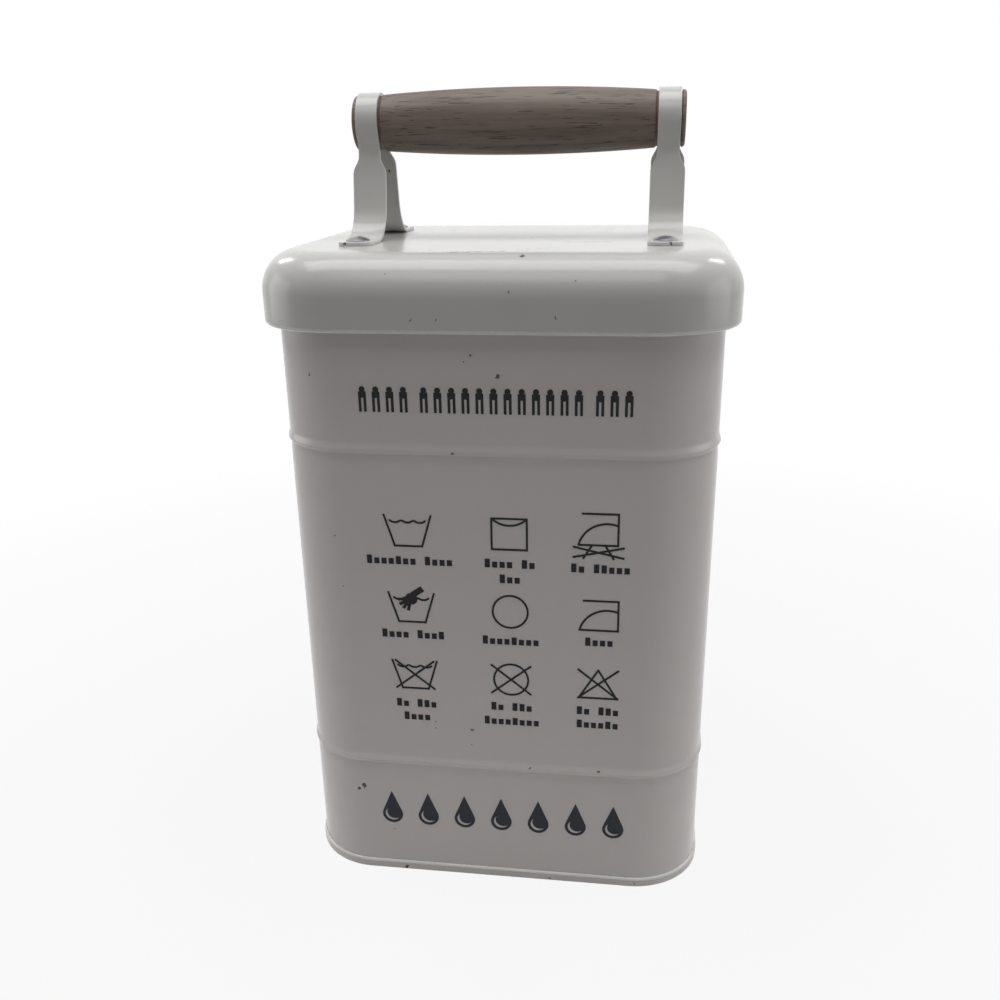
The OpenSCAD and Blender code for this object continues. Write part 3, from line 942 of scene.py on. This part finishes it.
class LAUNDRYTIN_OT_rivets(TinOperator):
    """Turns one domed rivet and sets a copy in each foot."""

    bl_idname = "laundrytin.rivets"
    bl_label = "Rivets"

    def execute(self, context):
        handle = context.scene.laundry_handle
        sheet = context.scene.laundry_lid.sheet
        steel = steel_finish(context.scene.laundry_look)
        low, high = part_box(RIVET_NODES[0])
        radius = (high.x - low.x) / 2
        head = handle.head_height
        under = high.z - head
        rim = 0.3 * MM
        rise = head - rim
        dome = (radius**2 + rise**2) / (2 * rise)
        centre = high.z - dome
        steps = [radius * i / CURVE_STEPS for i in range(CURVE_STEPS + 1)]
        section = [(centre + sqrt(dome**2 - r**2), r) for r in steps]
        section += [(under + rim / 2, radius), (under, radius), (under, handle.shank)]
        tail = under - handle.strap - sheet
        section += [
            (tail, handle.shank),
            (tail, handle.tail),
            (tail - 0.7 * handle.tail_height, handle.tail),
            (tail - handle.tail_height, 0.7 * handle.tail),
            (tail - handle.tail_height, 0),
        ]
        first = turn("domed_rivet", section, (0, 0, 0), (0, 0, 1), 48)
        for node in RIVET_NODES:
            rivet = first.copy()
            rivet.data = first.data.copy()
            rivet.name = rivet.data.name = node
            context.scene.collection.objects.link(rivet)
            place = middle(node)
            rivet.data.transform(Matrix.Translation((place.x, place.y, 0)))
            dress(rivet, steel, "lid", [node], 50)
        bpy.data.objects.remove(first)
        return {"FINISHED"}


class LAUNDRYTIN_OT_print(TinOperator):
    """Gives the printed figures on the front their ink."""

    bl_idname = "laundrytin.print"
    bl_label = "Front Print"

    def execute(self, context):
        look = context.scene.laundry_look
        black = ink_finish("Black ink", look.ink)
        charcoal = ink_finish("Charcoal ink", look.title_ink)
        for node in PRINT_NODES:
            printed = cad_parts[node].data
            printed.materials.clear()
            printed.materials.append(charcoal if node == "print_title" else black)
        return {"FINISHED"}


# Stage

# Where the photograph was taken from: place in metres, turn and shift of the camera
CAMERA_PLACE = (0.05623, -0.42075, 0.29592)
CAMERA_TURN = (radians(68.63), radians(0.798), radians(7.822))
CAMERA_SHIFT = (-0.006, 0.04)
SENSOR_WIDTH = 36
CLIP_START, CLIP_END = 0.01, 100

FLOOR_SIZE = 60
WHITE = (1, 1, 1, 1)
# How white the floor looks by the object, and how much darker it is far from it
WHITE_NEAR, DIM_FAR = 0.88, 0.2


class StageSettings(PropertyGroup):
    """The camera, the lamps and the backdrop."""

    place: FloatVectorProperty(
        name="Camera place",
        description="Where the camera stands",
        default=CAMERA_PLACE,
        subtype="TRANSLATION",
        unit="LENGTH",
    )
    aim: FloatVectorProperty(
        name="Camera turn",
        description="How the camera is turned",
        default=CAMERA_TURN,
        subtype="EULER",
        unit="ROTATION",
    )
    lens: FloatProperty(name="Lens", description="Focal length in millimetres", default=36.935)
    overhead: FloatProperty(
        name="Overhead", description="Power of the soft box overhead", default=9.0, unit="POWER"
    )
    side: FloatProperty(
        name="Side", description="Power of the lamp at each side", default=1.3, unit="POWER"
    )
    front: FloatProperty(
        name="Front", description="Power of the soft box high in front", default=1.3, unit="POWER"
    )
    window: FloatProperty(
        name="Windows", description="Power of each small lamp behind", default=0.7, unit="POWER"
    )
    fill: FloatProperty(
        name="Fill", description="Strength of the room's own light", default=0.05, min=0
    )
    backdrop: colour("Backdrop", "Colour of the floor and backdrop", (0.7, 0.7, 0.7))


class LAUNDRYTIN_OT_stage(TinOperator):
    """Sets up the pale floor, the soft light and the camera."""

    bl_idname = "laundrytin.stage"
    bl_label = "Stage"

    def execute(self, context):
        stage = context.scene.laundry_stage
        context.scene.view_settings.view_transform = "Standard"
        self.lay_floor(stage)
        self.light_room(context, stage)
        self.hang_lamps(stage)
        self.place_camera(context, stage)
        return {"FINISHED"}

    @staticmethod
    def seen(finish):
        """1 for what the camera, a reflection or a glass sees, and 0 for light that falls."""
        camera = finish.node("ShaderNodeLightPath", output="Is Camera Ray")
        glossy = finish.node("ShaderNodeLightPath", output="Is Glossy Ray")
        through = finish.node("ShaderNodeLightPath", output="Is Transmission Ray")
        return camera.most(glossy).most(through)

    def lay_floor(self, stage):
        """Lays a pale floor that keeps the shadow and fades to white further out."""
        deselect_all()
        bpy.ops.mesh.primitive_plane_add(size=FLOOR_SIZE, location=(0, 0, 0))
        floor = bpy.context.object
        floor.name = "floor"
        finish = Finish("Floor")
        away = finish.vector("LENGTH", finish.place(), output="Value")
        far = finish.ramp(away, (0.15, 0), (0.6, 1))
        share = self.seen(finish) * (WHITE_NEAR + far * (1 - WHITE_NEAR))
        beyond = finish.ramp(away, (0.2, 0), (0.7, 1))
        lit = finish.blend(beyond, tuple(stage.backdrop), shaded(stage.backdrop, DIM_FAR))
        plain = finish.node("ShaderNodeBsdfDiffuse", values={"Color": lit})
        white = finish.node("ShaderNodeEmission", values={"Color": WHITE, "Strength": 1.0})
        mixed = finish.node("ShaderNodeMixShader", values={0: share, 1: plain, 2: white})
        finish.node("ShaderNodeOutputMaterial", values={"Surface": mixed})
        floor.data.materials.append(finish.owner)

    def light_room(self, context, stage):
        """Gives the room a faint light of its own and a white look."""
        world = bpy.data.worlds.new("Room")
        context.scene.world = world
        finish = Finish("Room", world)
        fill = finish.node(
            "ShaderNodeBackground", values={"Color": WHITE, "Strength": stage.fill}
        )
        white = finish.node("ShaderNodeBackground", values={"Color": WHITE, "Strength": 1.0})
        mixed = finish.node(
            "ShaderNodeMixShader", values={0: self.seen(finish), 1: fill, 2: white}
        )
        finish.node("ShaderNodeOutputWorld", values={"Surface": mixed})

    @staticmethod
    def facing(place, height):
        """The turn of a lamp that shines on a height on the object's axis."""
        away = Vector(place) - Vector((0, 0, height))
        return away.to_track_quat("Z", "Y").to_euler()

    def hang_lamps(self, stage):
        """Hangs soft boxes overhead, in front and at each side, and two small lamps behind."""
        front, left, right = (0, -0.65, 1.15), (-0.7, 0.55, 0.75), (0.6, 0.65, 0.85)
        window_size = (0.09, 0.22)
        lamps = (
            ("Overhead", (0, 0, 1.2), (0, 0, 0), (1.5, 0.6), stage.overhead),
            ("Front box", front, self.facing(front, 0.15), (0.7, 0.45), stage.front),
            ("Left strip", (-0.9, 0, 0.35), (0, radians(-90), 0), (0.5, 0.6), stage.side),
            ("Right strip", (0.9, 0, 0.35), (0, radians(90), 0), (0.5, 0.6), stage.side),
            ("Left window", left, self.facing(left, 0.2), window_size, stage.window),
            ("Right window", right, self.facing(right, 0.2), window_size, stage.window),
        )
        for name, place, aim, size, power in lamps:
            deselect_all()
            bpy.ops.object.light_add(type="AREA", location=place, rotation=aim)
            lamp = bpy.context.object
            lamp.name = lamp.data.name = name
            lamp.data.shape = "RECTANGLE"
            lamp.data.size, lamp.data.size_y = size
            lamp.data.energy = power

    def place_camera(self, context, stage):
        """Puts the camera where the photograph was taken from."""
        deselect_all()
        bpy.ops.object.camera_add(location=stage.place, rotation=stage.aim)
        camera = bpy.context.object
        camera.name = camera.data.name = "Camera"
        camera.data.sensor_width = SENSOR_WIDTH
        camera.data.lens = stage.lens
        camera.data.shift_x, camera.data.shift_y = CAMERA_SHIFT
        camera.data.clip_start, camera.data.clip_end = CLIP_START, CLIP_END
        context.scene.camera = camera


# The add-on


STEPS = (
    LAUNDRYTIN_OT_wall,
    LAUNDRYTIN_OT_base,
    LAUNDRYTIN_OT_lid,
    LAUNDRYTIN_OT_brackets,
    LAUNDRYTIN_OT_grip,
    LAUNDRYTIN_OT_rivets,
    LAUNDRYTIN_OT_print,
    LAUNDRYTIN_OT_stage,
)

SETTINGS = (
    ("laundry_tin", TinSizes),
    ("laundry_lid", LidSizes),
    ("laundry_handle", HandleSizes),
    ("laundry_look", Finishes),
    ("laundry_stage", StageSettings),
)


class LAUNDRYTIN_PT_panel(Panel):
    """Lists the sizes, the colours and the steps."""

    bl_idname = "LAUNDRYTIN_PT_panel"
    bl_label = "Laundry Powder Tin"
    bl_space_type = "VIEW_3D"
    bl_region_type = "UI"
    bl_category = "Tin"

    def draw(self, context):
        for name, group in SETTINGS:
            box = self.layout.box()
            settings = getattr(context.scene, name)
            for field in group.__annotations__:
                box.prop(settings, field)
        for step in STEPS:
            self.layout.operator(step.bl_idname)


def register():
    for name, group in SETTINGS:
        bpy.utils.register_class(group)
        setattr(bpy.types.Scene, name, PointerProperty(type=group))
    for step in STEPS:
        bpy.utils.register_class(step)
    bpy.utils.register_class(LAUNDRYTIN_PT_panel)


def unregister():
    bpy.utils.unregister_class(LAUNDRYTIN_PT_panel)
    for step in reversed(STEPS):
        bpy.utils.unregister_class(step)
    for name, group in reversed(SETTINGS):
        delattr(bpy.types.Scene, name)
        bpy.utils.unregister_class(group)


def main():
    register()
    for step in STEPS:
        getattr(bpy.ops.laundrytin, step.bl_idname.split(".")[1])()


if __name__ == "__main__":
    main()
